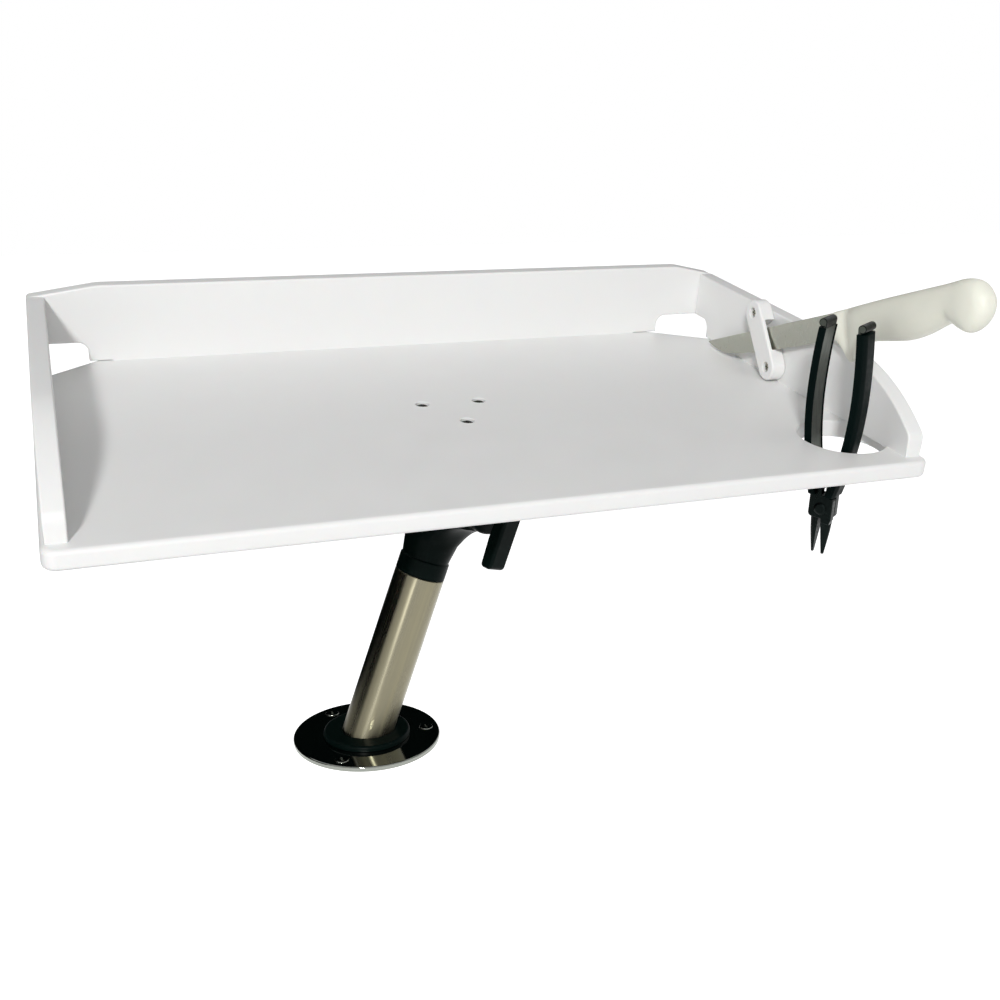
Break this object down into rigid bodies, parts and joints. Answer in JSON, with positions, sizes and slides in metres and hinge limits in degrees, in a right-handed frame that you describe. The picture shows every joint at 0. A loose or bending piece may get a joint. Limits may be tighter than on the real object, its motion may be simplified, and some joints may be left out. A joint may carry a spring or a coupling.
{
  "type": "bait board",
  "caption": "White polyethylene bait-cutting tray with knife and pliers, on a tilting and swivelling knuckle, a leaning stainless tube and a round deck flange.",
  "frame": {"origin": "centre of the deck flange's underside", "axes": "+Z square to the flange, away from the deck; +X along the tray's width, towards the pliers; +Y towards the tray's back wall"},
  "size_m": [0.5824, 0.3815, 0.3549],
  "materials": {
    "polyethylene": "satin, slightly waxy",
    "moulded_nylon": "smooth moulded black",
    "handle_polymer": "moulded off-white",
    "grip_rubber": "dipped black grip",
    "friction_pad": "matt friction lining",
    "brass_insert": "turned",
    "polished_stainless": "mirror-polished stainless steel",
    "stainless": "brushed stainless steel"
  },
  "bodies": {
    "stand": {"deck_flange": "polished_stainless", "foot_collar": "moulded_nylon", "tube": "polished_stainless", "swivel_screw": "stainless", "flange_screw_1": "stainless", "flange_screw_2": "stainless", "flange_screw_3": "stainless"},
    "knuckle": {"knuckle_head": "moulded_nylon", "friction_disc_left": "friction_pad", "friction_disc_right": "friction_pad", "hinge_bolt": "stainless", "bolt_washer": "stainless"},
    "lever": {"clamp_lever": "moulded_nylon", "lever_insert": "brass_insert"},
    "board": {"base_board": "polyethylene", "back_wall": "polyethylene", "left_wall": "polyethylene", "right_wall": "polyethylene", "knife_keeper": "polyethylene", "mount_bracket": "moulded_nylon", "keeper_screw_upper": "stainless", "keeper_screw_lower": "stainless", "mount_screw_1": "stainless", "mount_screw_2": "stainless", "mount_screw_3": "stainless", "left_wall_screw_1": "stainless", "left_wall_screw_2": "stainless", "left_wall_screw_3": "stainless", "right_wall_screw_1": "stainless", "right_wall_screw_2": "stainless", "right_wall_screw_3": "stainless", "back_wall_screw_1": "stainless", "back_wall_screw_2": "stainless", "back_wall_screw_3": "stainless", "back_wall_screw_4": "stainless", "left_corner_screw_1": "stainless", "left_corner_screw_2": "stainless", "right_corner_screw_1": "stainless", "right_corner_screw_2": "stainless"},
    "knife": {"knife_blade": "stainless", "knife_handle": "handle_polymer"},
    "pliers": {"plier_half_right": "stainless", "plier_grip_right": "grip_rubber", "plier_pivot": "stainless"},
    "plier_jaw": {"plier_half_left": "stainless", "plier_grip_left": "grip_rubber"}
  },
  "joints": [
    {"name": "swivel", "type": "hinge", "parent": "stand", "child": "knuckle", "pos_m": [0.07251, 0, 0.20322], "axis": [0.342, 0, 0.9397], "range_deg": [-90, 90]},
    {"name": "tilt", "type": "hinge", "parent": "knuckle", "child": "board", "pos_m": [0.07251, 0, 0.20322], "axis": [0.4306, -0.8888, -0.1567], "range_deg": [-67.2, 22.7]},
    {"name": "clamp", "type": "hinge", "parent": "knuckle", "child": "lever", "pos_m": [0.07251, 0, 0.20322], "axis": [0.4306, -0.8888, -0.1567], "range_deg": [0, 60]},
    {"name": "knife_slide", "type": "slide", "parent": "board", "child": "knife", "axis": [0.0351, -0.9696, 0.242], "range_m": [0, 0.11]},
    {"name": "pliers_lift", "type": "slide", "parent": "board", "child": "pliers", "axis": [-0.027, -0.1273, 0.9915], "range_m": [0, 0.1]},
    {"name": "pliers_open", "type": "hinge", "parent": "pliers", "child": "plier_jaw", "pos_m": [0.31697, -0.11967, 0.18422], "axis": [0.866, 0.4924, 0.0868], "range_deg": [0, 9.4]}
  ]
}
